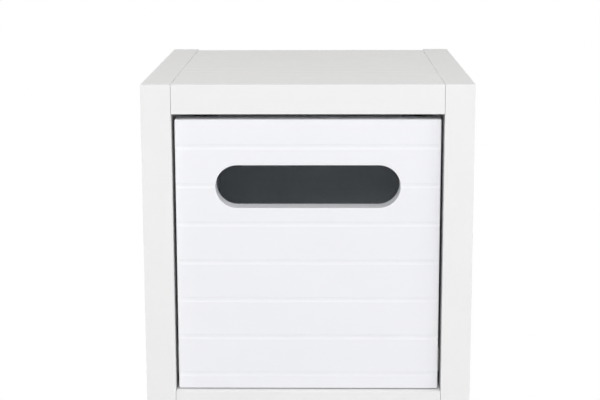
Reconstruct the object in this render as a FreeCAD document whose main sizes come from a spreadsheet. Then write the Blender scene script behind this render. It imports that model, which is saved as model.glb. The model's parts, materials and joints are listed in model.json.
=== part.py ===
import FreeCAD, Part
import math
import os
import re

import Sketcher

# Narrow bathroom chest of three drawers on roller runners.
# X runs across the chest, the front faces -Y, Z is up and the floor is at zero.

# Driving dimensions, in millimetres
SIZES = {
    # Boards of the carcass
    "chest_width": 335,
    "chest_depth": 360,
    "side_thickness": 30,
    "board_thickness": 30,
    "bay_height": 290,
    "toe_space": 40,
    "edge_easing": 0.4,
    "board_play": 0.3,
    "top_groove_width": 2,
    "top_groove_depth": 0.5,
    # Back panel, in a groove of the side boards
    "back_setback": 12,
    "back_thickness": 4,
    "back_groove_depth": 8,
    "back_play": 0.4,
    "back_edge_inset": 8,
    "back_screw_spread": 180,
    "back_screw_length": 20,
    # Dowels and cam fittings
    "bolt_row_inset": 50,
    "dowel_row_offset": 32,
    "dowel_diameter": 8,
    "dowel_length": 35,
    "dowel_in_side": 15,
    "dowel_chamfer": 1,
    "bolt_thread_diameter": 6,
    "bolt_thread_length": 11,
    "bolt_shaft_diameter": 6.6,
    "bolt_neck_diameter": 3.6,
    "bolt_neck_length": 4,
    "bolt_head_diameter": 6.8,
    "bolt_head_length": 3,
    "bolt_bore_diameter": 8,
    "cam_diameter": 15,
    "cam_setback": 34,
    "cam_cover": 5.5,
    "cam_slot_width": 1.6,
    "cam_slot_length": 8,
    "cam_slot_depth": 2,
    # Floor glides
    "glide_height": 5,
    "glide_diameter": 22,
    "glide_rounding": 1.5,
    "glide_inset": 40,
    "glide_pin_diameter": 8,
    "glide_pin_length": 14,
    # Screws
    "screw_diameter": 3.5,
    "screw_tip": 3,
    "screw_head_diameter": 6.6,
    "screw_head_height": 1.2,
    "runner_screw_length": 16,
    "drawer_screw_length": 30,
    # Drawer front
    "front_thickness": 22,
    "front_recess": 6.5,
    "front_side_gap": 3,
    "front_top_gap": 6,
    "front_bottom_gap": 1,
    "front_rounding": 1.5,
    "groove_radius": 9.8,
    "groove_depth": 0.35,
    "first_groove_drop": 28,
    "last_groove_rise": 16,
    "slot_width": 188,
    "slot_height": 44,
    "slot_drop": 69,
    "slot_rounding": 0.5,
    # Drawer box
    "box_side_thickness": 15,
    "box_back_thickness": 15,
    "box_headroom": 44.8,
    "box_easing": 0.8,
    "box_bottom_thickness": 4,
    "box_bottom_rise": 12,
    "box_groove_depth": 6,
    "box_groove_play": 0.4,
    "box_cam_depth": 12,
    "box_fixing_rise": 60,
    "box_fixing_drop": 52,
    "box_bottom_screw_spread": 120,
    # Roller runners
    "runner_rear_gap": 17.5,
    "runner_gap": 12.5,
    "runner_rise": 12,
    "runner_setback": 2,
    "runner_sheet": 1.2,
    "runner_bend": 0.5,
    "runner_side_play": 1,
    "runner_lift_play": 0.5,
    "runner_support": 12,
    "runner_screw_first": 40,
    "runner_screw_inset": 5.5,
    "runner_overlap": 70,
    "stop_height": 4,
    "stop_play": 0.3,
    "end_stop_height": 12,
    # Rollers and their axles
    "roller_diameter": 22,
    "roller_width": 6.2,
    "roller_inset": 14,
    "roller_chamfer": 0.6,
    "roller_hub_diameter": 10,
    "roller_rim": 2.4,
    "roller_recess": 1,
    "rolling_play": 0.15,
    "front_roller_lift": 0.25,
    "axle_diameter": 5,
    "axle_play": 0.06,
    "axle_end_play": 0.1,
    "axle_head_diameter": 8,
    "axle_head_height": 0.8,
    "axle_shoulder": 1.1,
    # Fits shared by all fasteners, and the overrun of open cuts
    "fit_play": 0.1,
    "end_play": 0.5,
    "overrun": 1,
}

CROWN_SHARE = 0.7
PROBE_SHARE = 0.25
TOUCH = 1e-6

LEVELS = ("lower", "middle", "upper")
BOARDS = ("bottom_panel", "divider_lower", "divider_upper", "top_panel")
TOP_STRIPS = 12
GROOVE_COUNT = 7
RUNNER_SCREW_COUNT = 3

# Formulas of derived sizes: x from the middle plane, y from the front of the chest
HALF = "chest_width / 2"
WALL = "(chest_width / 2 - side_thickness)"
MODULE = "(bay_height + board_thickness)"
HEIGHT = f"(toe_space + board_thickness + {len(LEVELS)} * {MODULE})"
BOARD_DEPTH = "(chest_depth - back_setback)"
TOP_STRIP = f"{BOARD_DEPTH} / {TOP_STRIPS}"
BOLT_ROWS = ("bolt_row_inset", f"({BOARD_DEPTH} - bolt_row_inset)")
DOWEL_INSET = "(bolt_row_inset + dowel_row_offset)"
DOWEL_ROWS = (DOWEL_INSET, f"({BOARD_DEPTH} - {DOWEL_INSET})")
CAM_DEPTH = "(board_thickness / 2 + cam_cover)"
BACK_SCREWS = ("back_screw_spread / 2", "-back_screw_spread / 2")

# The same inside a drawer bay, with z from the floor of the bay
FRONT_HALF = f"({WALL} - front_side_gap)"
FRONT_TOP = "(bay_height - front_top_gap)"
GROOVE_RUN = f"({FRONT_TOP} - front_bottom_gap - first_groove_drop - last_groove_rise)"
GROOVE_PITCH = f"{GROOVE_RUN} / {GROOVE_COUNT - 1}"
BOX_FRONT = "(front_recess + front_thickness)"
RUNNER_FRONT = f"({BOX_FRONT} + runner_setback)"
RUNNER_LENGTH = f"({BOARD_DEPTH} - runner_rear_gap - {RUNNER_FRONT})"
BOX_REAR = f"({BOX_FRONT} + {RUNNER_LENGTH})"
BOX_HALF = f"({WALL} - runner_gap)"
INNER_HALF = f"({BOX_HALF} - box_side_thickness)"
SIDE_MIDDLE = f"({BOX_HALF} - box_side_thickness / 2)"
BACK_MIDDLE = f"({BOX_REAR} - box_back_thickness / 2)"
BOX_FLOOR = "(runner_rise + runner_sheet)"
BOX_TOP = "(bay_height - box_headroom)"
GROOVE_FLOOR = f"({BOX_FLOOR} + box_bottom_rise)"
BOTTOM_TOP = f"({GROOVE_FLOOR} + box_bottom_thickness)"
FIXINGS = (f"({BOX_FLOOR} + box_fixing_rise)", f"({BOX_TOP} - box_fixing_drop)")
FIXING_PITCH = f"{FIXINGS[1]} - {FIXINGS[0]}"
BOTTOM_SCREWS = ("box_bottom_screw_spread / 2", "-box_bottom_screw_spread / 2")

# Heights and ends of the runners
DRAWER_TRAVEL = f"({RUNNER_LENGTH} - runner_overlap)"
RUNNER_SCREW_PITCH = f"({RUNNER_LENGTH} - 2 * runner_screw_first) / {RUNNER_SCREW_COUNT - 1}"
RUNNER_REACH = "(runner_gap - runner_sheet - runner_side_play)"
ROLLER_RADIUS = "(roller_diameter / 2)"
DRAWER_ROLLER_Z = f"(runner_rise + runner_sheet + rolling_play + {ROLLER_RADIUS})"
DRAWER_ROLLER_Y = f"({BOX_REAR} - roller_inset)"
CABINET_ROLLER_Z = f"({DRAWER_ROLLER_Z} + front_roller_lift)"
CABINET_ROLLER_Y = f"({RUNNER_FRONT} + roller_inset)"
FLANGE_Z = f"({CABINET_ROLLER_Z} + {ROLLER_RADIUS} + rolling_play)"
CHANNEL_TOP = f"({FLANGE_Z} + 2 * runner_sheet + runner_lift_play)"
STOP_REACH = f"sqrt({ROLLER_RADIUS}^2 - ({ROLLER_RADIUS} + rolling_play - stop_height)^2)"

NORMALS = {"XY_Plane": "+Z", "XZ_Plane": "-Y", "YZ_Plane": "+X"}

doc = FreeCAD.newDocument("bathroom_chest")
sheet = doc.addObject("Spreadsheet::Sheet", "sizes")
for row, (alias, number) in enumerate(SIZES.items(), start=1):
    sheet.set(f"A{row}", alias)
    sheet.set(f"B{row}", str(number))
    sheet.setAlias(f"B{row}", alias)
doc.recompute()

nodes = []


def bind(item, prop, text):
    """Tie a property to a formula written in the names of the sheet."""
    cells = re.sub(r"[a-z]\w*", lambda word: f"sizes.{word[0]}" if word[0] in SIZES else word[0], text)
    item.setExpression(prop, cells)


def hold(sketch, kind, places, text):
    """Add a sketch dimension that follows a formula."""
    index = sketch.addConstraint(Sketcher.Constraint(kind, *places, 0 if kind != "Radius" else 1))
    bind(sketch, f"Constraints[{index}]", text)


def hold_point(sketch, geometry, point, across, up):
    """Hold a point of a sketch at two formulas from the sketch's origin."""
    hold(sketch, "DistanceX", (-1, 1, geometry, point), across)
    hold(sketch, "DistanceY", (-1, 1, geometry, point), up)


def outline(sketch, corners):
    """Draw a closed outline of straight lines through corners given as formulas."""
    count = len(corners)
    turns = [math.tau * n / count for n in range(count + 1)]
    start = [FreeCAD.Vector(math.cos(turn), math.sin(turn)) for turn in turns]
    lines = [sketch.addGeometry(Part.LineSegment(start[n], start[n + 1])) for n in range(count)]
    for n, corner in enumerate(corners):
        sketch.addConstraint(Sketcher.Constraint("Coincident", lines[n - 1], 2, lines[n], 1))
        hold_point(sketch, lines[n], 1, *corner)


def rectangle(left, low, right, high):
    """Corners of a rectangle between four formulas."""
    return [(left, low), (right, low), (right, high), (left, high)]


def circles(sketch, centres, radius):
    """Draw circles of one radius round centres given as formulas."""
    for centre in centres:
        ring = sketch.addGeometry(Part.Circle())
        hold_point(sketch, ring, 3, *centre)
        hold(sketch, "Radius", (ring,), radius)


def long_oval(sketch, half_run, middle, radius):
    """Draw two half rounds joined by level lines, about the middle plane."""
    up = FreeCAD.Vector(0, 0, 1)
    ends = []
    for side in (1, -1):
        ring = Part.Circle(FreeCAD.Vector(side, 0, 0), up, 1)
        first = -math.pi / 2 if side > 0 else math.pi / 2
        ends.append(sketch.addGeometry(Part.ArcOfCircle(ring, first, first + math.pi)))
    right, left = ends
    corner = [FreeCAD.Vector(x, z, 0) for x, z in ((1, 1), (-1, 1), (-1, -1), (1, -1))]
    top = sketch.addGeometry(Part.LineSegment(corner[0], corner[1]))
    bottom = sketch.addGeometry(Part.LineSegment(corner[2], corner[3]))
    for first, second in ((right, top), (top, left), (left, bottom), (bottom, right)):
        sketch.addConstraint(Sketcher.Constraint("Tangent", first, 2, second, 1))
    hold_point(sketch, right, 3, half_run, middle)
    hold_point(sketch, left, 3, f"-{half_run}", middle)
    for end in ends:
        hold(sketch, "Radius", (end,), radius)


def screw_profile(length, sign=""):
    """Half section of a low-headed wood screw, along its axis from the seat of the head."""
    along = (
        ("-screw_head_height", "0"),
        ("-screw_head_height", f"screw_head_diameter / 2 * {CROWN_SHARE}"),
        ("0", "screw_head_diameter / 2"),
        ("0", "screw_diameter / 2"),
        (f"{length} - screw_tip", "screw_diameter / 2"),
        (length, "0"),
    )
    return [(f"{sign}({place})", radius) for place, radius in along]


def bolt_profile(sign=""):
    """Half section of a cam bolt, along its axis from the joint between the two boards."""
    head_start = "(cam_setback - bolt_head_length / 2)"
    neck_start = f"({head_start} - bolt_neck_length)"
    along = (
        ("-bolt_thread_length", "0"),
        ("-bolt_thread_length", "bolt_thread_diameter / 2"),
        ("0", "bolt_thread_diameter / 2"),
        ("0", "bolt_shaft_diameter / 2"),
        (neck_start, "bolt_shaft_diameter / 2"),
        (neck_start, "bolt_neck_diameter / 2"),
        (head_start, "bolt_neck_diameter / 2"),
        (head_start, "bolt_head_diameter / 2"),
        (f"({head_start} + bolt_head_length)", "bolt_head_diameter / 2"),
        (f"({head_start} + bolt_head_length)", "0"),
    )
    return [(f"{sign}({place})", radius) for place, radius in along]


def parallel_to_y(edge):
    """Whether a straight edge runs from front to back."""
    box = edge.BoundBox
    return box.XLength < TOUCH and box.ZLength < TOUCH


def bends(shape, thickness):
    """Inner and outer edges along the bends of a folded strip that runs from front to back."""
    probe = thickness * PROBE_SHARE
    runs = [edge for edge in shape.Edges if parallel_to_y(edge)]
    inner = []
    for edge in runs:
        middle = edge.CenterOfMass
        spots = [middle + FreeCAD.Vector(x * probe, 0, z * probe) for x in (-1, 1) for z in (-1, 1)]
        if sum(shape.isInside(spot, TOUCH, True) for spot in spots) > 2:
            inner.append(edge)
    others = [edge for edge in runs if not any(edge.isSame(bend) for bend in inner)]
    outer = []
    for bend in inner:
        middle = bend.CenterOfMass
        outer.append(min(others, key=lambda edge: edge.CenterOfMass.distanceToPoint(middle)))
    return inner, outer


class Piece:
    """A body drawn in the directions of the chest, with y from its front and z from a given floor."""

    def __init__(self, label, floor="0"):
        self.label = label
        self.body = doc.addObject("PartDesign::Body", label)
        self.planes = {}
        bind(self.body, "Placement.Base.y", "-chest_depth / 2")
        bind(self.body, "Placement.Base.z", floor)

    def origin(self, role):
        """A plane or axis of the body's own origin."""
        return next(item for item in self.body.Origin.OriginFeatures if item.Role == role)

    def add(self, kind, name):
        """Add a feature and make it the body's result."""
        feature = self.body.newObject(f"PartDesign::{kind}", f"{self.label}_{name}")
        self.body.Tip = feature
        return feature

    def sketch(self, name, role, x="0", y="0", z="0"):
        """Start a sketch on an origin plane, with its own origin at a point of the body."""
        sketch = self.body.newObject("Sketcher::SketchObject", f"{self.label}_{name}")
        sketch.AttachmentSupport = [(self.origin(role), "")]
        sketch.MapMode = "FlatFace"
        offsets = {"XY_Plane": (x, y, z), "XZ_Plane": (x, z, f"-{y}"), "YZ_Plane": (y, z, x)}[role]
        for direction, offset in zip("xyz", offsets):
            bind(sketch, f"AttachmentOffset.Base.{direction}", offset)
        self.planes[sketch.Name] = role
        return sketch

    def pad(self, sketch, length, toward):
        """Pad a sketch in a direction of the chest."""
        pad = self.add("Pad", "pad")
        pad.Profile = sketch
        pad.Reversed = toward != NORMALS[self.planes[sketch.Name]]
        bind(pad, "Length", length)
        return pad

    def cut(self, sketch, toward, depth=None):
        """Cut a sketch into the body in a direction of the chest, right through where no depth is given."""
        cut = self.add("Pocket", "cut")
        cut.Profile = sketch
        cut.Reversed = toward == NORMALS[self.planes[sketch.Name]]
        if depth is None:
            cut.Type = "ThroughAll"
        else:
            bind(cut, "Length", depth)
        return cut

    def holes(self, name, role, level, centres, radius, toward, depth=None):
        """Drill round holes of one size from a plane at a level."""
        sketch = self.sketch(name, role, **level)
        circles(sketch, centres, radius)
        return self.cut(sketch, toward, depth)

    def turn(self, name, axis, start, profile):
        """Turn a half section, given as (along, radius), about an axis through a point of the body."""
        role = "XZ_Plane" if axis == "Z" else "XY_Plane"
        sketch = self.sketch(name, role, *start)
        outline(sketch, profile if axis == "X" else [(radius, along) for along, radius in profile])
        turned = self.add("Revolution", "turned")
        turned.Profile = sketch
        turned.ReferenceAxis = (sketch, ["H_Axis" if axis == "X" else "V_Axis"])
        return turned

    def ease(self, radius, edges=None):
        """Round the given edges of the body, or all of them."""
        base = self.body.Tip
        doc.recompute()
        fillet = self.add("Fillet", "eased")
        chosen = base.Shape.Edges if edges is None else edges(base.Shape)
        names = [f"Edge{n}" for n, edge in enumerate(base.Shape.Edges, 1)
                 if any(edge.isSame(pick) for pick in chosen)]
        fillet.Base = (base, names)
        bind(fillet, "Radius", radius)
        return fillet

    def repeat(self, axis, pitch, count, features=None, back=False):
        """Repeat the given features, or the whole body, along an axis or back along it."""
        doc.recompute()
        pattern = self.add("LinearPattern", "row")
        if features is None:
            pattern.TransformMode = "Whole shape"
        else:
            pattern.Originals = features
        pattern.Direction = (self.origin(axis), [""])
        pattern.Reversed = back
        pattern.Mode = "Spacing"
        pattern.Occurrences = count
        bind(pattern, "Offset", pitch)
        return pattern

    def mirror(self, features=None):
        """Repeat the given features, or the whole body, on the other side of the middle plane."""
        doc.recompute()
        mirrored = self.add("Mirrored", "mirrored")
        if features is None:
            mirrored.TransformMode = "Whole shape"
        else:
            mirrored.Originals = features
        mirrored.MirrorPlane = (self.origin("YZ_Plane"), [""])
        return mirrored

    def node(self):
        """Keep the body as a sub-part."""
        self.body.Label = self.label
        nodes.append(self.body)
        return self.body


def mirrored_node(label, source):
    """Keep the mirror image of a left-hand sub-part as its right-hand one."""
    twin = doc.addObject("Part::Mirroring", label)
    twin.Source = source
    twin.Normal = FreeCAD.Vector(1, 0, 0)
    nodes.append(twin)


def group_node(label, pieces):
    """Keep several bodies of fasteners as one sub-part."""
    group = doc.addObject("Part::Compound", label)
    group.Links = [piece.body for piece in pieces]
    nodes.append(group)


def side_panels():
    """Side boards: grooved for the back panel, drilled for joints, runners and glides."""
    side = Piece("side_panel_left")
    plan = side.sketch("plan", "XY_Plane", z="glide_height")
    outline(plan, rectangle(f"-{HALF}", "0", f"-{WALL}", "chest_depth"))
    side.pad(plan, f"{HEIGHT} - glide_height", "+Z")
    side.ease("edge_easing")
    groove = side.sketch("groove", "XY_Plane", z="glide_height")
    deep = f"-{WALL} - back_groove_depth"
    rear = f"{BOARD_DEPTH} + back_thickness + back_play"
    outline(groove, rectangle(deep, BOARD_DEPTH, f"-{WALL} + overrun", rear))
    side.cut(groove, "+Z", f"{HEIGHT} - glide_height - back_edge_inset + back_play")
    inner_face = {"x": f"-{WALL}"}
    board_middle = "toe_space + board_thickness / 2"
    dowels = side.holes(
        "dowels", "YZ_Plane", inner_face, [(y, board_middle) for y in DOWEL_ROWS],
        "dowel_diameter / 2 + fit_play", "-X", "dowel_in_side + end_play")
    bolts = side.holes(
        "bolts", "YZ_Plane", inner_face, [(y, board_middle) for y in BOLT_ROWS],
        "bolt_thread_diameter / 2 + fit_play", "-X", "bolt_thread_length + end_play")
    side.repeat("Z_Axis", MODULE, len(BOARDS), [dowels, bolts])
    first_bay = "toe_space + board_thickness"
    screws = side.holes(
        "runner_screws", "YZ_Plane", inner_face,
        [(y, f"{first_bay} + {CABINET_ROLLER_Z}") for y in runner_screw_places(RUNNER_FRONT)],
        "screw_diameter / 2 + fit_play", "-X", "runner_screw_length - runner_sheet + end_play")
    side.repeat("Z_Axis", MODULE, len(LEVELS), [screws])
    middle = f"-({HALF} - side_thickness / 2)"
    side.holes(
        "glide_pins", "XY_Plane", {"z": "glide_height"},
        [(middle, "glide_inset"), (middle, "chest_depth - glide_inset")],
        "glide_pin_diameter / 2 + fit_play", "+Z", "glide_pin_length + end_play")
    mirrored_node("side_panel_right", side.node())


def runner_screw_places(front):
    """Places of a runner's screws from front to back."""
    steps = range(RUNNER_SCREW_COUNT)
    return [f"({front} + runner_screw_first + {n} * {RUNNER_SCREW_PITCH})" for n in steps]


def board(label, level):
    """A level board between the sides, bored for its dowels, bolts, cams and back screws."""
    board = Piece(label, f"toe_space + {level} * {MODULE}")
    plan = board.sketch("plan", "XY_Plane")
    end = f"({WALL} - board_play)"
    outline(plan, rectangle(f"-{end}", "0", end, BOARD_DEPTH))
    board.pad(plan, "board_thickness", "+Z")
    board.ease("edge_easing")
    end_face = {"x": WALL}
    dowels = board.holes(
        "dowels", "YZ_Plane", end_face, [(y, "board_thickness / 2") for y in DOWEL_ROWS],
        "dowel_diameter / 2 + fit_play", "-X", "dowel_length - dowel_in_side + end_play")
    bolts = board.holes(
        "bolts", "YZ_Plane", end_face, [(y, "board_thickness / 2") for y in BOLT_ROWS],
        "bolt_bore_diameter / 2", "-X", "cam_setback")
    board.mirror([dowels, bolts])
    cam_place = f"({WALL} - cam_setback)"
    board.holes(
        "cams", "XY_Plane", {}, [(x, y) for x in (cam_place, f"-{cam_place}") for y in BOLT_ROWS],
        "cam_diameter / 2 + fit_play", "+Z", f"{CAM_DEPTH} + end_play")
    board.holes(
        "back_screws", "XZ_Plane", {"y": BOARD_DEPTH}, [(x, "board_thickness / 2") for x in BACK_SCREWS],
        "screw_diameter / 2 + fit_play", "-Y", "back_screw_length - back_thickness + end_play")
    if label == BOARDS[-1]:
        top_grooves(board)
    board.node()


def top_grooves(top):
    """Fine grooves across the top board that part it into strips."""
    groove = top.sketch("groove", "YZ_Plane", x=WALL, y=TOP_STRIP, z="board_thickness")
    outline(groove, [
        ("0", "-top_groove_depth"),
        ("top_groove_width", "top_groove_depth"),
        ("-top_groove_width", "top_groove_depth"),
    ])
    first = top.cut(groove, "-X")
    top.repeat("Y_Axis", TOP_STRIP, TOP_STRIPS - 1, [first])


def back_panel():
    """Thin back panel, screwed to the rear edges of the boards."""
    back = Piece("back_panel")
    face = back.sketch("face", "XZ_Plane", y=BOARD_DEPTH)
    reach = f"({WALL} + back_groove_depth - back_play)"
    low = "toe_space + back_edge_inset"
    outline(face, rectangle(f"-{reach}", low, reach, f"{HEIGHT} - back_edge_inset"))
    back.pad(face, "back_thickness", "+Y")
    row = "toe_space + board_thickness / 2"
    screws = back.holes(
        "screw_holes", "XZ_Plane", {"y": BOARD_DEPTH}, [(x, row) for x in BACK_SCREWS],
        "screw_diameter / 2 + fit_play", "+Y")
    back.repeat("Z_Axis", MODULE, len(BOARDS), [screws])
    back.node()
    fixings = Piece("back_panel_screws", row)
    seat = f"({BOARD_DEPTH} + back_thickness)"
    fixings.turn("screw", "Y", (BACK_SCREWS[1], seat, "0"), screw_profile("back_screw_length", "-"))
    fixings.mirror()
    fixings.repeat("Z_Axis", MODULE, len(BOARDS))
    fixings.node()


def joint_fittings():
    """Dowels, cam bolts and cam discs that draw the boards against the sides."""
    row = "toe_space + board_thickness / 2"
    dowel = Piece("carcass_dowels", row)
    half_dowel = [
        ("0", "0"),
        ("0", "dowel_diameter / 2 - dowel_chamfer"),
        ("dowel_chamfer", "dowel_diameter / 2"),
        ("dowel_length - dowel_chamfer", "dowel_diameter / 2"),
        ("dowel_length", "dowel_diameter / 2 - dowel_chamfer"),
        ("dowel_length", "0"),
    ]
    dowel.turn("dowel", "X", (f"-({WALL} + dowel_in_side)", DOWEL_ROWS[0], "0"), half_dowel)
    dowel.repeat("Y_Axis", f"{DOWEL_ROWS[1]} - {DOWEL_ROWS[0]}", len(DOWEL_ROWS))
    bolt = Piece("carcass_cam_bolts", row)
    bolt.turn("bolt", "X", (f"-{WALL}", BOLT_ROWS[0], "0"), bolt_profile())
    bolt.repeat("Y_Axis", f"{BOLT_ROWS[1]} - {BOLT_ROWS[0]}", len(BOLT_ROWS))
    disc = Piece("carcass_cam_discs", "toe_space")
    centre = f"-({WALL} - cam_setback)"
    face = disc.sketch("face", "XY_Plane")
    circles(face, [(centre, BOLT_ROWS[0])], "cam_diameter / 2")
    disc.pad(face, CAM_DEPTH, "+Z")
    mouth_end = {"x": f"{centre} + bolt_head_length"}
    disc.holes(
        "mouth", "YZ_Plane", mouth_end, [(BOLT_ROWS[0], "board_thickness / 2")],
        "bolt_head_diameter / 2 + fit_play", "-X")
    driver = disc.sketch("driver", "XY_Plane", centre, BOLT_ROWS[0])
    outline(driver, driver_slot())
    disc.cut(driver, "+Z", "cam_slot_depth")
    disc.repeat("Y_Axis", f"{BOLT_ROWS[1]} - {BOLT_ROWS[0]}", len(BOLT_ROWS))
    for fitting in (dowel, bolt, disc):
        fitting.repeat("Z_Axis", MODULE, len(BOARDS))
        fitting.mirror()
        fitting.node()


def driver_slot():
    """Corners of the screwdriver slot in a cam disc."""
    reach = "cam_slot_length / 2"
    half = "cam_slot_width / 2"
    return rectangle(f"-{reach}", f"-{half}", reach, half)


def floor_glides():
    """Plastic glides with a spigot in the lower end of each side board."""
    glide = Piece("floor_glides")
    half_glide = [
        ("0", "0"),
        ("0", "glide_diameter / 2 - glide_rounding"),
        ("glide_rounding", "glide_diameter / 2"),
        ("glide_height", "glide_diameter / 2"),
        ("glide_height", "glide_pin_diameter / 2"),
        ("glide_height + glide_pin_length", "glide_pin_diameter / 2"),
        ("glide_height + glide_pin_length", "0"),
    ]
    glide.turn("glide", "Z", (f"-({HALF} - side_thickness / 2)", "glide_inset", "0"), half_glide)
    glide.repeat("Y_Axis", "chest_depth - 2 * glide_inset", 2)
    glide.mirror()
    glide.node()


def axle(runner, name, web, sign, y, z):
    """Staked axle of a roller on a runner: shoulder, journal and head, away from the web."""
    shoulder_end = "(runner_sheet + axle_shoulder)"
    head_start = f"({shoulder_end} + roller_width + 2 * axle_end_play)"
    head_end = f"({head_start} + axle_head_height)"
    along = (
        ("0", "0"),
        ("0", "axle_head_diameter / 2"),
        (shoulder_end, "axle_head_diameter / 2"),
        (shoulder_end, "axle_diameter / 2"),
        (head_start, "axle_diameter / 2"),
        (head_start, "axle_head_diameter / 2"),
        (head_end, "axle_head_diameter / 2"),
        (head_end, "0"),
    )
    runner.turn(name, "X", (web, y, z), [(f"{sign}{place}", radius) for place, radius in along])


def roller(label, floor, web, sign, y, z):
    """Nylon roller with a hub, a rim and a thinner web between them."""
    wheel = Piece(label, floor)
    near = "(runner_sheet + axle_shoulder + axle_end_play)"
    bore = "axle_diameter / 2 + axle_play"
    hub = "roller_hub_diameter / 2"
    rim = f"{ROLLER_RADIUS} - roller_rim"
    half_face = [
        ("0", bore),
        ("0", hub),
        ("roller_recess", hub),
        ("roller_recess", rim),
        ("0", rim),
        ("0", f"{ROLLER_RADIUS} - roller_chamfer"),
        ("roller_chamfer", ROLLER_RADIUS),
    ]
    far_face = [(f"roller_width - {place}", radius) for place, radius in reversed(half_face)]
    profile = [(f"{sign}({near} + {place})", radius) for place, radius in half_face + far_face]
    wheel.turn("section", "X", (web, y, z), profile)
    return wheel.node()


def cabinet_runner(level, floor):
    """C-shaped runner on the side board, with its axle, end stop and pull-out stop."""
    runner = Piece(f"cabinet_runner_{level}_left", floor)
    section = runner.sketch("section", "XZ_Plane", x=f"-{WALL}", y=RUNNER_FRONT)
    top = CHANNEL_TOP
    outline(section, [
        ("0", "runner_rise"),
        (RUNNER_REACH, "runner_rise"),
        (RUNNER_REACH, "runner_rise + runner_sheet"),
        ("runner_sheet", "runner_rise + runner_sheet"),
        ("runner_sheet", f"{top} - runner_sheet"),
        (RUNNER_REACH, f"{top} - runner_sheet"),
        (RUNNER_REACH, top),
        ("0", top),
    ])
    runner.pad(section, RUNNER_LENGTH, "+Y")
    round_bends(runner)
    axle(runner, "axle", f"-{WALL}", "", CABINET_ROLLER_Y, CABINET_ROLLER_Z)
    pulled_out = f"({DRAWER_ROLLER_Y} - {DRAWER_TRAVEL} - {STOP_REACH} - stop_play)"
    pushed_in = f"({DRAWER_ROLLER_Y} + {ROLLER_RADIUS} + stop_play)"
    stops = (
        ("pull_stop", pulled_out, "stop_height", "-Y"),
        ("end_stop", pushed_in, "end_stop_height", "+Y"),
    )
    for name, face, height, toward in stops:
        tab = runner.sketch(name, "XZ_Plane", x=f"-{WALL}", y=face)
        left = "runner_sheet + runner_bend"
        outline(tab, rectangle(left, "runner_rise", RUNNER_REACH, f"runner_rise + runner_sheet + {height}"))
        runner.pad(tab, "runner_sheet", toward)
    screw_holes = [(y, CABINET_ROLLER_Z) for y in runner_screw_places(RUNNER_FRONT)]
    web = {"x": f"-{WALL} + runner_sheet"}
    runner.holes("screws", "YZ_Plane", web, screw_holes, "screw_diameter / 2 + fit_play", "-X")
    mirrored_node(f"cabinet_runner_{level}_right", runner.node())
    label = f"cabinet_roller_{level}"
    wheel = roller(f"{label}_left", floor, f"-{WALL}", "", CABINET_ROLLER_Y, CABINET_ROLLER_Z)
    mirrored_node(f"{label}_right", wheel)


def cabinet_runner_screws():
    """Screws of all cabinet runners, through the web into the side board."""
    screw = Piece("cabinet_runner_screws", f"toe_space + board_thickness + {CABINET_ROLLER_Z}")
    seat = f"-{WALL} + runner_sheet"
    first = runner_screw_places(RUNNER_FRONT)[0]
    screw.turn("screw", "X", (seat, first, "0"), screw_profile("runner_screw_length", "-"))
    screw.repeat("Y_Axis", RUNNER_SCREW_PITCH, RUNNER_SCREW_COUNT)
    screw.repeat("Z_Axis", MODULE, len(LEVELS))
    screw.mirror()
    screw.node()


def round_bends(runner):
    """Round the inner and outer side of each bend of a runner."""
    thickness = sheet.get("runner_sheet")
    runner.ease("runner_bend + runner_sheet", lambda shape: bends(shape, thickness)[1])
    runner.ease("runner_bend", lambda shape: bends(shape, thickness)[0])


def drawer_front(drawer, floor):
    """Drawer front: eased edges, long-oval hand slot and level grooves across its face."""
    front = Piece(f"{drawer}_front", floor)
    face = front.sketch("face", "XZ_Plane", y="front_recess")
    outline(face, rectangle(f"-{FRONT_HALF}", "front_bottom_gap", FRONT_HALF, FRONT_TOP))
    front.pad(face, "front_thickness", "+Y")
    front.ease("front_rounding", front_edges)
    slot = front.sketch("slot", "XZ_Plane", y="front_recess")
    half_run = "(slot_width / 2 - slot_height / 2)"
    long_oval(slot, half_run, f"{FRONT_TOP} - slot_drop", "slot_height / 2")
    front.cut(slot, "+Y")
    front.ease("slot_rounding", slot_edges)
    groove = front.sketch("groove", "YZ_Plane", x=FRONT_HALF)
    centre = ("front_recess - (groove_radius - groove_depth)", f"{FRONT_TOP} - first_groove_drop")
    circles(groove, [centre], "groove_radius")
    first = front.cut(groove, "-X")
    front.repeat("Z_Axis", GROOVE_PITCH, GROOVE_COUNT, [first], back=True)
    rear = {"y": BOX_FRONT}
    front.holes(
        "bolts", "XZ_Plane", rear, [(x, z) for x in (SIDE_MIDDLE, f"-{SIDE_MIDDLE}") for z in FIXINGS],
        "bolt_thread_diameter / 2 + fit_play", "-Y", "bolt_thread_length + end_play")
    seat = front.sketch("bottom_seat", "XZ_Plane", y=BOX_FRONT)
    reach = f"({INNER_HALF} + box_groove_depth)"
    outline(seat, rectangle(f"-{reach}", GROOVE_FLOOR, reach, f"{BOTTOM_TOP} + box_groove_play"))
    front.cut(seat, "-Y", "box_groove_depth")
    front.node()


def front_edges(shape):
    """Edges round the face of a drawer front, and its four short edges from front to back."""
    nearest = shape.BoundBox.YMin
    return [edge for edge in shape.Edges if parallel_to_y(edge) or edge.BoundBox.YMax - nearest < TOUCH]


def slot_edges(shape):
    """Edges of the hand slot, on the face and on the back of a drawer front."""
    faces = sorted(shape.Faces, key=lambda face: face.CenterOfMass.y)
    return [edge for face in (faces[0], faces[-1]) for wire in face.Wires
            if not wire.isSame(face.OuterWire) for edge in wire.Edges]


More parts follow.
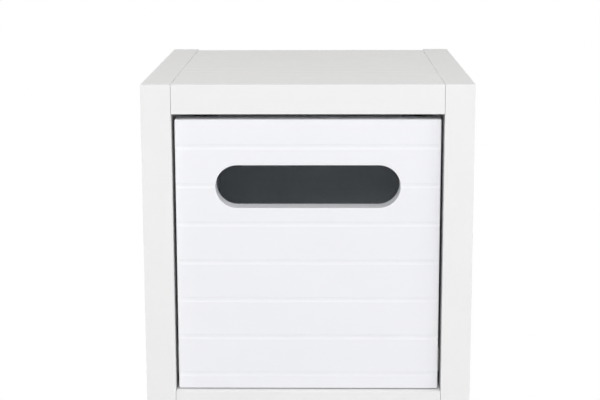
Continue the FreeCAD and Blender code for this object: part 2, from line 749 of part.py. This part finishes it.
def drawer_sides(drawer, floor):
    """Sides of the drawer box: grooved for the bottom, bored for cams, bolts and screws."""
    side = Piece(f"{drawer}_side_left", floor)
    section = side.sketch("section", "XZ_Plane", y=BOX_FRONT)
    outline(section, rectangle(f"-{BOX_HALF}", BOX_FLOOR, f"-{INNER_HALF}", BOX_TOP))
    side.pad(section, RUNNER_LENGTH, "+Y")
    side.ease("box_easing")
    groove = side.sketch("groove", "XZ_Plane", y=BOX_FRONT)
    deep = f"-{INNER_HALF} - box_groove_depth"
    high = f"{BOTTOM_TOP} + box_groove_play"
    outline(groove, rectangle(deep, GROOVE_FLOOR, f"-{INNER_HALF} + overrun", high))
    side.cut(groove, "+Y")
    outer_face = {"x": f"-{BOX_HALF}"}
    side.holes(
        "cams", "YZ_Plane", outer_face, [(f"{BOX_FRONT} + cam_setback", z) for z in FIXINGS],
        "cam_diameter / 2 + fit_play", "+X", "box_cam_depth + end_play")
    side.holes(
        "bolts", "XZ_Plane", {"y": BOX_FRONT}, [(f"-{SIDE_MIDDLE}", z) for z in FIXINGS],
        "bolt_bore_diameter / 2", "+Y", "cam_setback")
    side.holes(
        "back_screws", "YZ_Plane", outer_face, [(BACK_MIDDLE, z) for z in FIXINGS],
        "screw_diameter / 2 + fit_play", "+X")
    screw_x = f"-({BOX_HALF} - runner_screw_inset)"
    side.holes(
        "runner_screws", "XY_Plane", {"z": BOX_FLOOR},
        [(screw_x, y) for y in runner_screw_places(BOX_FRONT)],
        "screw_diameter / 2 + fit_play", "+Z", "drawer_screw_length - runner_sheet + end_play")
    mirrored_node(f"{drawer}_side_right", side.node())


def drawer_back(drawer, floor):
    """Back of the drawer box, between its sides and on its bottom."""
    back = Piece(f"{drawer}_back", floor)
    face = back.sketch("face", "XZ_Plane", y=f"({BOX_REAR} - box_back_thickness)")
    outline(face, rectangle(f"-{INNER_HALF}", BOTTOM_TOP, INNER_HALF, BOX_TOP))
    back.pad(face, "box_back_thickness", "+Y")
    back.ease("box_easing")
    side_screws = back.holes(
        "side_screws", "YZ_Plane", {"x": INNER_HALF}, [(BACK_MIDDLE, z) for z in FIXINGS],
        "screw_diameter / 2 + fit_play", "-X", "drawer_screw_length - box_side_thickness + end_play")
    back.mirror([side_screws])
    back.holes(
        "bottom_screws", "XY_Plane", {"z": BOTTOM_TOP}, [(x, BACK_MIDDLE) for x in BOTTOM_SCREWS],
        "screw_diameter / 2 + fit_play", "+Z", "drawer_screw_length - box_bottom_thickness + end_play")
    back.node()


def drawer_bottom(drawer, floor):
    """Thin bottom of the drawer box, in grooves of the sides and the front."""
    bottom = Piece(f"{drawer}_bottom", floor)
    plan = bottom.sketch("plan", "XY_Plane", z=GROOVE_FLOOR)
    reach = f"({INNER_HALF} + box_groove_depth - box_groove_play)"
    near = f"({BOX_FRONT} - box_groove_depth + box_groove_play)"
    outline(plan, rectangle(f"-{reach}", near, reach, BOX_REAR))
    bottom.pad(plan, "box_bottom_thickness", "+Z")
    bottom.holes(
        "screw_holes", "XY_Plane", {"z": GROOVE_FLOOR}, [(x, BACK_MIDDLE) for x in BOTTOM_SCREWS],
        "screw_diameter / 2 + fit_play", "+Z")
    bottom.node()


def drawer_runners(drawer, level, floor):
    """Z-shaped runners under the drawer sides: the upper flange rides on the cabinet rollers."""
    runner = Piece(f"{drawer}_runner_left", floor)
    section = runner.sketch("section", "XZ_Plane", x=f"-{WALL}", y=BOX_FRONT)
    web = "runner_gap - runner_sheet"
    tip = "runner_sheet + runner_side_play"
    support = "runner_gap + runner_support"
    outline(section, [
        (tip, FLANGE_Z),
        (web, FLANGE_Z),
        (web, "runner_rise"),
        (support, "runner_rise"),
        (support, BOX_FLOOR),
        ("runner_gap", BOX_FLOOR),
        ("runner_gap", f"{FLANGE_Z} + runner_sheet"),
        (tip, f"{FLANGE_Z} + runner_sheet"),
    ])
    runner.pad(section, RUNNER_LENGTH, "+Y")
    round_bends(runner)
    axle(runner, "axle", f"-{BOX_HALF}", "-", DRAWER_ROLLER_Y, DRAWER_ROLLER_Z)
    screw_x = f"-({BOX_HALF} - runner_screw_inset)"
    runner.holes(
        "screws", "XY_Plane", {"z": "runner_rise"}, [(screw_x, y) for y in runner_screw_places(BOX_FRONT)],
        "screw_diameter / 2 + fit_play", "+Z")
    mirrored_node(f"{drawer}_runner_right", runner.node())
    label = f"drawer_roller_{level}"
    wheel = roller(f"{label}_left", floor, f"-{BOX_HALF}", "-", DRAWER_ROLLER_Y, DRAWER_ROLLER_Z)
    mirrored_node(f"{label}_right", wheel)


def drawer_cam_fittings(drawer, floor):
    """Cam bolts in the front and cam discs in the outer faces of the drawer sides."""
    bolt = Piece(f"{drawer}_cam_bolts", floor)
    bolt.turn("bolt", "Y", (f"-{SIDE_MIDDLE}", BOX_FRONT, FIXINGS[0]), bolt_profile())
    disc = Piece(f"{drawer}_cam_discs", floor)
    centre = f"({BOX_FRONT} + cam_setback)"
    face = disc.sketch("face", "YZ_Plane", x=f"-{BOX_HALF}")
    circles(face, [(centre, FIXINGS[0])], "cam_diameter / 2")
    disc.pad(face, "box_cam_depth", "+X")
    mouth_end = {"y": f"({centre} + bolt_head_length)"}
    disc.holes(
        "mouth", "XZ_Plane", mouth_end, [(f"-{SIDE_MIDDLE}", FIXINGS[0])],
        "bolt_head_diameter / 2 + fit_play", "-Y")
    driver = disc.sketch("driver", "YZ_Plane", f"-{BOX_HALF}", centre, FIXINGS[0])
    outline(driver, driver_slot())
    disc.cut(driver, "+X", "cam_slot_depth")
    for fitting in (bolt, disc):
        fitting.repeat("Z_Axis", FIXING_PITCH, len(FIXINGS))
        fitting.mirror()
    group_node(f"{drawer}_cam_fittings", [bolt, disc])


def drawer_screws(drawer, floor):
    """Wood screws of one drawer: through the sides, the runners and the bottom."""
    back = Piece(f"{drawer}_back_screws", floor)
    back.turn("screw", "X", (f"-{BOX_HALF}", BACK_MIDDLE, FIXINGS[0]), screw_profile("drawer_screw_length"))
    back.repeat("Z_Axis", FIXING_PITCH, len(FIXINGS))
    runner = Piece(f"{drawer}_runner_screws", floor)
    screw_x = f"-({BOX_HALF} - runner_screw_inset)"
    first = runner_screw_places(BOX_FRONT)[0]
    runner.turn("screw", "Z", (screw_x, first, "runner_rise"), screw_profile("drawer_screw_length"))
    runner.repeat("Y_Axis", RUNNER_SCREW_PITCH, RUNNER_SCREW_COUNT)
    bottom = Piece(f"{drawer}_bottom_screws", floor)
    start = (BOTTOM_SCREWS[1], BACK_MIDDLE, GROOVE_FLOOR)
    bottom.turn("screw", "Z", start, screw_profile("drawer_screw_length"))
    for screws in (back, runner, bottom):
        screws.mirror()
    group_node(f"{drawer}_screws", [back, runner, bottom])


side_panels()
for number, label in enumerate(BOARDS):
    board(label, number)
back_panel()
joint_fittings()
floor_glides()
cabinet_runner_screws()
for number, level in enumerate(LEVELS):
    bay_floor = f"toe_space + board_thickness + {number} * {MODULE}"
    drawer = f"drawer_{level}"
    cabinet_runner(level, bay_floor)
    drawer_front(drawer, bay_floor)
    drawer_sides(drawer, bay_floor)
    drawer_back(drawer, bay_floor)
    drawer_bottom(drawer, bay_floor)
    drawer_runners(drawer, level, bay_floor)
    drawer_cam_fittings(drawer, bay_floor)
    drawer_screws(drawer, bay_floor)
doc.recompute()

# Nothing is written unless every feature is sound and every cut took material away
for item in doc.Objects:
    if {"Invalid", "Error"} & set(item.State):
        raise RuntimeError(f"{item.Name} failed: {item.State}")
    if item.TypeId == "PartDesign::Pocket" and item.Shape.Volume >= item.BaseFeature.Shape.Volume:
        raise RuntimeError(f"{item.Name} cut nothing")
for item in nodes:
    if item.Shape.isNull() or not item.Shape.isValid() or not item.Shape.Solids:
        raise RuntimeError(f"{item.Label} has no sound solid")

os.makedirs("parts", exist_ok=True)
for item in nodes:
    item.Shape.exportStep(f"parts/{item.Label}.step")
print(f"{len(nodes)} sub-parts, {sum(len(item.Shape.Solids) for item in nodes)} solids")
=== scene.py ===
import json
import math

import bmesh
import bpy
from mathutils import Matrix, Vector

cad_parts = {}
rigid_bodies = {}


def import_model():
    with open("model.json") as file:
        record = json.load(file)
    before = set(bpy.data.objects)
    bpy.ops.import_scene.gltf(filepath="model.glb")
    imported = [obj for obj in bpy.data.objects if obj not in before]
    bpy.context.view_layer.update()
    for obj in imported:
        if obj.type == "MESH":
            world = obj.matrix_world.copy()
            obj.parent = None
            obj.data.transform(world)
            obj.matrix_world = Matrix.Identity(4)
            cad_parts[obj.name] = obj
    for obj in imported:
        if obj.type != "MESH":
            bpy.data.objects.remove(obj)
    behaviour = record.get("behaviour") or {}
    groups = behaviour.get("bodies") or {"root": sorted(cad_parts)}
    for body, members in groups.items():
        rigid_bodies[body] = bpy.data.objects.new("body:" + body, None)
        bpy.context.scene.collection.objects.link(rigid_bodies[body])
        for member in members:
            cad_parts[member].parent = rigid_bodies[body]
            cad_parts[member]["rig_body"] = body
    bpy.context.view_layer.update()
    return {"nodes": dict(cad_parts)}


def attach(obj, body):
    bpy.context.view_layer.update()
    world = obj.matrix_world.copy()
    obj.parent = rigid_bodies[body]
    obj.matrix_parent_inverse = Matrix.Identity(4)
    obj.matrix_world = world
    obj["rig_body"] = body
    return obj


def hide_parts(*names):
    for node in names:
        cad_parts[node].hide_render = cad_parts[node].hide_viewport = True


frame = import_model()
scene = bpy.context.scene

# Words in the names of the chest's pieces
LEVELS = ("lower", "middle", "upper")
HANDS = ("left", "right")
DRAWERS = [f"drawer_{level}" for level in LEVELS]
SCREWS = ["back_panel_screws", "cabinet_runner_screws"] + [f"{drawer}_screws" for drawer in DRAWERS]

# Values between which most of a noise lies
NOISE_LOW = 0.3
NOISE_HIGH = 0.7

# Cross recess in the head of a screw, in metres, with the size of its foot as a share of its mouth
RECESS_REACH = 0.0018
RECESS_HALF_WIDTH = 0.00045
RECESS_DEPTH = 0.0015
RECESS_FOOT_SHARE = 0.45
RECESS_OVERRUN = 0.0002

# Points this near are one point, in metres, and edges bent by more than this are sharp, in degrees
WELD = 0.000001
SHARP_ANGLE = 30.0

# Width of the camera's sensor, in millimetres
SENSOR_WIDTH = 36.0

QUARTER_TURN = math.tau / 4
WHITE = (1.0, 1.0, 1.0, 1.0)

# Colours of the lamps
COOL_WHITE = (0.995, 0.995, 1.0)
WARM_WHITE = (1.0, 0.99, 0.95)
PALE_BLUE = (0.72, 0.88, 1.0)


class Surface:
    """A node material: one surface shader fed by textures laid out in the piece's own metres."""

    def __init__(self, name, metallic=0.0, gloss=0.5):
        self.material = bpy.data.materials.new(name)
        self.material.use_nodes = True
        self.tree = self.material.node_tree
        self.shader = self.tree.nodes["Principled BSDF"]
        self.shader.inputs["Metallic"].default_value = metallic
        self.shader.inputs["Specular IOR Level"].default_value = gloss
        self.place = self.add("TexCoord").outputs["Object"]

    def add(self, kind, **inputs):
        """Add a node and set or link its inputs, given by name with _ for a space."""
        node = self.tree.nodes.new(f"ShaderNode{kind}")
        for name, value in inputs.items():
            socket = node.inputs[name.replace("_", " ")]
            if isinstance(value, bpy.types.NodeSocket):
                self.tree.links.new(value, socket)
            else:
                socket.default_value = value
        return node

    def noise(self, *counts, detail=4.0, roughness=0.55, distortion=0.0):
        """Noise with so many features to the metre: one count, or three for X, Y and Z."""
        scale = counts if len(counts) == 3 else 3 * counts
        laid = self.add("Mapping", Vector=self.place, Scale=scale).outputs["Vector"]
        made = self.add(
            "TexNoise", Vector=laid, Scale=1.0, Detail=detail, Roughness=roughness, Distortion=distortion)
        return made.outputs["Fac"]

    def ramp(self, value, dark, light, low=NOISE_LOW, high=NOISE_HIGH):
        """Turn a value into colour, from the dark one at its low end to the light one at its high end."""
        node = self.add("ValToRGB", Fac=value)
        for element, place, colour in zip(node.color_ramp.elements, (low, high), (dark, light)):
            element.position = place
            element.color = (*colour, 1.0)
        return node.outputs["Color"]

    def span(self, value, low, high):
        """Stretch the middle of a noise to run from one number to another."""
        node = self.add(
            "MapRange", Value=value, From_Min=NOISE_LOW, From_Max=NOISE_HIGH, To_Min=low, To_Max=high)
        return node.outputs["Result"]

    def blend(self, first, second, share):
        """Mix two values, with a share of the second."""
        node = self.add("Mix")
        self.tree.links.new(first, node.inputs["A"])
        self.tree.links.new(second, node.inputs["B"])
        node.inputs["Factor"].default_value = share
        return node.outputs["Result"]

    def finish(self, colour, roughness, relief=None, depth=0.0):
        """Link colour and roughness to the shader, with a relief of some depth in metres."""
        self.tree.links.new(colour, self.shader.inputs["Base Color"])
        self.tree.links.new(roughness, self.shader.inputs["Roughness"])
        if relief is not None:
            bump = self.add("Bump", Height=relief, Distance=depth, Strength=1.0)
            self.tree.links.new(bump.outputs["Normal"], self.shader.inputs["Normal"])
        return self.material


def board_lacquer(name, streak_counts):
    """White lacquered board: faint streaks over its faces and the unevenness of a sprayed coat."""
    surface = Surface(name, gloss=0.15)
    streaks = surface.noise(*streak_counts, detail=5.0, roughness=0.6)
    cloud = surface.noise(14, detail=3.0)
    peel = surface.noise(520, detail=2.0)
    mixed = surface.blend(streaks, cloud, share=0.35)
    colour = surface.ramp(mixed, (0.864, 0.858, 0.852), (0.88, 0.875, 0.871), low=0.36, high=0.64)
    return surface.finish(colour, surface.span(peel, low=0.5, high=0.6), relief=peel, depth=0.00003)


def front_lacquer():
    """Satin lacquer on fibreboard: a cool white with the faint unevenness of a sprayed coat."""
    surface = Surface("front_lacquer", gloss=0.4)
    cloud = surface.noise(7, detail=2.0)
    peel = surface.noise(420, detail=2.0)
    colour = surface.ramp(cloud, (0.872, 0.874, 0.901), (0.884, 0.885, 0.908))
    return surface.finish(colour, surface.span(peel, low=0.34, high=0.42), relief=peel, depth=0.000025)


def faced_board(name, dark, light, speckle_count):
    """Board faced with foil: a fine speckle over long pale streaks."""
    surface = Surface(name)
    speckle = surface.noise(speckle_count, detail=3.0, roughness=0.7)
    streaks = surface.noise(25, 25, 200)
    mixed = surface.blend(speckle, streaks, share=0.5)
    colour = surface.ramp(mixed, dark, light, low=0.34, high=0.66)
    return surface.finish(colour, surface.span(speckle, low=0.48, high=0.6), relief=speckle, depth=0.00004)


def enamel():
    """Baked enamel on folded steel: pale and slightly uneven."""
    surface = Surface("runner_enamel")
    peel = surface.noise(500, detail=0.0)
    cloud = surface.noise(30, detail=3.0)
    colour = surface.ramp(cloud, (0.79, 0.79, 0.77), (0.85, 0.85, 0.83))
    return surface.finish(colour, surface.span(peel, low=0.28, high=0.36), relief=peel, depth=0.00002)


def moulded(name, dark, light, smooth, rough):
    """Moulded plastic with a fine matt texture."""
    surface = Surface(name)
    pits = surface.noise(1500, detail=2.0)
    cloud = surface.noise(90, detail=3.0)
    colour = surface.ramp(cloud, dark, light)
    return surface.finish(colour, surface.span(pits, smooth, rough), relief=pits, depth=0.00003)


def zinc():
    """Zinc-plated steel with cloudy plating."""
    surface = Surface("zinc_steel", metallic=1.0)
    cloud = surface.noise(260, distortion=0.6)
    colour = surface.ramp(cloud, (0.42, 0.43, 0.46), (0.6, 0.6, 0.58))
    return surface.finish(colour, surface.span(cloud, low=0.38, high=0.52), relief=cloud, depth=0.00002)


def beech():
    """Plain beech with its grain along the dowel."""
    surface = Surface("dowel_wood")
    grain = surface.noise(60, 1400, 1400, distortion=0.3)
    colour = surface.ramp(grain, (0.52, 0.35, 0.2), (0.74, 0.58, 0.4))
    return surface.finish(colour, surface.span(grain, low=0.75, high=0.6), relief=grain, depth=0.00005)


def dress():
    """Give every piece of the chest its material."""
    across = board_lacquer("board_lacquer_level", streak_counts=(2, 160, 0))
    upright = board_lacquer("board_lacquer_upright", streak_counts=(0, 160, 2))
    front = front_lacquer()
    back = faced_board("back_board", (0.76, 0.76, 0.75), (0.83, 0.83, 0.82), speckle_count=900)
    box = faced_board("drawer_board", (0.862, 0.895, 0.922), (0.887, 0.92, 0.948), speckle_count=700)
    bottom = faced_board("drawer_bottom", (0.84, 0.872, 0.9), (0.865, 0.897, 0.925), speckle_count=1100)
    painted = enamel()
    nylon = moulded("roller_nylon", (0.74, 0.74, 0.7), (0.82, 0.82, 0.79), smooth=0.38, rough=0.5)
    plastic = moulded("glide_plastic", (0.54, 0.53, 0.5), (0.62, 0.61, 0.58), smooth=0.5, rough=0.64)
    plated = zinc()
    finishes = {
        "top_panel": across, "divider_upper": across, "divider_lower": across, "bottom_panel": across,
        "side_panel_left": upright, "side_panel_right": upright, "back_panel": back,
        "carcass_dowels": beech(), "floor_glides": plastic,
    }
    for name in ("carcass_cam_bolts", "carcass_cam_discs", *SCREWS):
        finishes[name] = plated
    for level, drawer in zip(LEVELS, DRAWERS):
        finishes[f"{drawer}_front"] = front
        finishes[f"{drawer}_back"] = box
        finishes[f"{drawer}_bottom"] = bottom
        finishes[f"{drawer}_cam_fittings"] = plated
        for hand in HANDS:
            finishes[f"{drawer}_side_{hand}"] = box
            finishes[f"{drawer}_runner_{hand}"] = painted
            finishes[f"cabinet_runner_{level}_{hand}"] = painted
            finishes[f"cabinet_roller_{level}_{hand}"] = nylon
            finishes[f"drawer_roller_{level}_{hand}"] = nylon
    for name, piece in frame["nodes"].items():
        piece.data.materials.clear()
        piece.data.materials.append(finishes[name])


def solids(mesh):
    """Points of each separate solid of a welded mesh."""
    seen = set()
    for start in mesh.verts:
        if start in seen:
            continue
        seen.add(start)
        found = [start]
        for vertex in found:
            for edge in vertex.link_edges:
                other = edge.other_vert(vertex)
                if other not in seen:
                    seen.add(other)
                    found.append(other)
        yield [vertex.co for vertex in found]


def screw_head(points):
    """Middle of a screw's head and the way it faces: the end that isn't a single point."""
    spans = [max(point[n] for point in points) - min(point[n] for point in points) for n in range(3)]
    axis = spans.index(max(spans))
    for sign in (1, -1):
        end = max(sign * point[axis] for point in points)
        ring = [point for point in points if end - sign * point[axis] < WELD]
        if len(ring) > 1:
            facing = Vector()
            facing[axis] = sign
            return sum(ring, Vector()) / len(ring), facing


def add_cross(cutter, middle, facing):
    """Add a cross that narrows as it sinks into a screw's head."""
    reach, half = RECESS_REACH, RECESS_HALF_WIDTH
    arm = ((reach, -half), (reach, half), (half, half))
    corners = [Matrix.Rotation(n * QUARTER_TURN, 2) @ Vector(corner) for n in range(4) for corner in arm]
    turn = facing.to_track_quat("Z", "Y")
    rings = []
    for height, share in ((RECESS_OVERRUN, 1.0), (-RECESS_DEPTH, RECESS_FOOT_SHARE)):
        places = [middle + turn @ (corner * share).to_3d() + facing * height for corner in corners]
        rings.append([cutter.verts.new(place) for place in places])
    top, low = rings
    cutter.faces.new(top)
    cutter.faces.new(low[::-1])
    for n in range(len(corners)):
        cutter.faces.new((top[n - 1], low[n - 1], low[n], top[n]))


def plain_object(name, mesh):
    """An object with the bare points and faces of a mesh."""
    mesh.verts.index_update()
    data = bpy.data.meshes.new(name)
    data.from_pydata([v.co for v in mesh.verts], [], [[v.index for v in face.verts] for face in mesh.faces])
    mesh.free()
    made = bpy.data.objects.new(name, data)
    scene.collection.objects.link(made)
    return made


def recess_screws(name):
    """Cut a cross recess into the head of each screw of a group."""
    node = frame["nodes"][name]
    blanks = bmesh.new()
    blanks.from_mesh(node.data)
    bmesh.ops.remove_doubles(blanks, verts=blanks.verts, dist=WELD)
    cutter = bmesh.new()
    for points in solids(blanks):
        add_cross(cutter, *screw_head(points))
    screws = plain_object(f"{name}_recessed", blanks)
    tool = plain_object("recess_tool", cutter)
    recess = screws.modifiers.new("recess", "BOOLEAN")
    recess.operation = "DIFFERENCE"
    recess.object = tool
    cut = screws.evaluated_get(bpy.context.evaluated_depsgraph_get())
    screws.data = bpy.data.meshes.new_from_object(cut)
    screws.modifiers.clear()
    bpy.data.objects.remove(tool)
    screws.data.shade_smooth()
    screws.data.set_sharp_from_angle(angle=math.radians(SHARP_ANGLE))
    screws.data.materials.append(node.data.materials[0])
    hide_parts(name)
    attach(screws, node["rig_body"])


def seen_rays(tree):
    """A value of one for rays from the camera, a reflection or a pane, and zero for light."""
    path = tree.nodes.new("ShaderNodeLightPath")
    value = path.outputs["Is Camera Ray"]
    for name in ("Is Glossy Ray", "Is Transmission Ray"):
        either = tree.nodes.new("ShaderNodeMath")
        either.operation = "MAXIMUM"
        tree.links.new(value, either.inputs[0])
        tree.links.new(path.outputs[name], either.inputs[1])
        value = either.outputs[0]
    return value


def lay_floor(reach, near, far):
    """A wide pale floor that keeps the chest's shadow and turns white away from it."""
    corners = [(x * reach, y * reach, 0.0) for x, y in ((-1, -1), (1, -1), (1, 1), (-1, 1))]
    mesh = bpy.data.meshes.new("floor")
    mesh.from_pydata(corners, [], [(0, 1, 2, 3)])
    floor = bpy.data.objects.new("floor", mesh)
    scene.collection.objects.link(floor)
    surface = Surface("floor")
    cloud = surface.noise(3, detail=3.0)
    colour = surface.ramp(cloud, (0.83, 0.83, 0.83), (0.85, 0.85, 0.85))
    pale = surface.finish(colour, surface.span(cloud, low=0.8, high=0.9))
    away = surface.add("VectorMath", Vector=surface.place)
    away.operation = "LENGTH"
    fade = surface.add("MapRange", Value=away.outputs["Value"], From_Min=near, From_Max=far)
    fade.interpolation_type = "SMOOTHSTEP"
    share = surface.add("Math")
    share.operation = "MULTIPLY"
    surface.tree.links.new(fade.outputs["Result"], share.inputs[0])
    surface.tree.links.new(seen_rays(surface.tree), share.inputs[1])
    white = surface.add("Emission", Strength=1.0)
    mixed = surface.add("MixShader", Fac=share.outputs[0])
    surface.tree.links.new(surface.shader.outputs["BSDF"], mixed.inputs[1])
    surface.tree.links.new(white.outputs["Emission"], mixed.inputs[2])
    surface.tree.links.new(mixed.outputs["Shader"], surface.tree.nodes["Material Output"].inputs["Surface"])
    mesh.materials.append(pale)


def light_world(strength):
    """Soft light from all round, with a white background."""
    world = bpy.data.worlds.new("studio")
    scene.world = world
    world.use_nodes = True
    tree = world.node_tree
    soft = tree.nodes["Background"]
    soft.inputs["Color"].default_value = WHITE
    soft.inputs["Strength"].default_value = strength
    white = tree.nodes.new("ShaderNodeBackground")
    white.inputs["Color"].default_value = WHITE
    white.inputs["Strength"].default_value = 1.0
    mixed = tree.nodes.new("ShaderNodeMixShader")
    tree.links.new(seen_rays(tree), mixed.inputs["Fac"])
    tree.links.new(soft.outputs["Background"], mixed.inputs[1])
    tree.links.new(white.outputs["Background"], mixed.inputs[2])
    tree.links.new(mixed.outputs["Shader"], tree.nodes["World Output"].inputs["Surface"])


def lamp(name, place, target, size, power, colour):
    """A soft square lamp aimed at a point."""
    data = bpy.data.lights.new(name, "AREA")
    data.shape = "SQUARE"
    data.size = size
    data.energy = power
    data.color = colour
    made = bpy.data.objects.new(name, data)
    made.location = place
    made.rotation_euler = (Vector(target) - Vector(place)).to_track_quat("-Z", "Y").to_euler()
    scene.collection.objects.link(made)


def stand_camera(place, pitch, yaw, roll, focal):
    """A camera turned by degrees from a level view along Y; its focal length is in widths of the image."""
    data = bpy.data.cameras.new("camera")
    data.sensor_width = SENSOR_WIDTH
    data.lens = SENSOR_WIDTH * focal
    made = bpy.data.objects.new("camera", data)
    turn = Matrix.Rotation(math.radians(yaw), 4, "Z")
    tilt = Matrix.Rotation(QUARTER_TURN + math.radians(pitch), 4, "X")
    lean = Matrix.Rotation(math.radians(-roll), 4, "Z")
    made.matrix_world = Matrix.Translation(place) @ turn @ tilt @ lean
    scene.collection.objects.link(made)
    scene.camera = made


dress()
for group in SCREWS:
    recess_screws(group)
lay_floor(reach=9.0, near=0.5, far=1.5)
light_world(strength=0.22)
lamp("key", place=(-0.6, -2.5, 2.63), target=(0.0, -0.1, 0.85), size=2.0, power=56.0, colour=COOL_WHITE)
lamp("side", place=(2.3, -1.4, 1.9), target=(0.0, -0.18, 0.9), size=1.8, power=27.0, colour=COOL_WHITE)
lamp("fill", place=(0.0, -2.4, 1.35), target=(0.0, -0.18, 0.92), size=0.5, power=0.95, colour=PALE_BLUE)
for hand, side, power in zip(HANDS, (-1, 1), (46.0, 24.0)):
    place = (side * 2.2, 1.8, 1.35)
    lamp(f"rear_{hand}", place, target=(0.0, 0.0, 0.5), size=2.6, power=power, colour=WARM_WHITE)
stand_camera(place=(0.0151, -1.68, 1.2123), pitch=-11.298, yaw=0.878, roll=0.151, focal=2.519)
scene.view_settings.view_transform = "Standard"
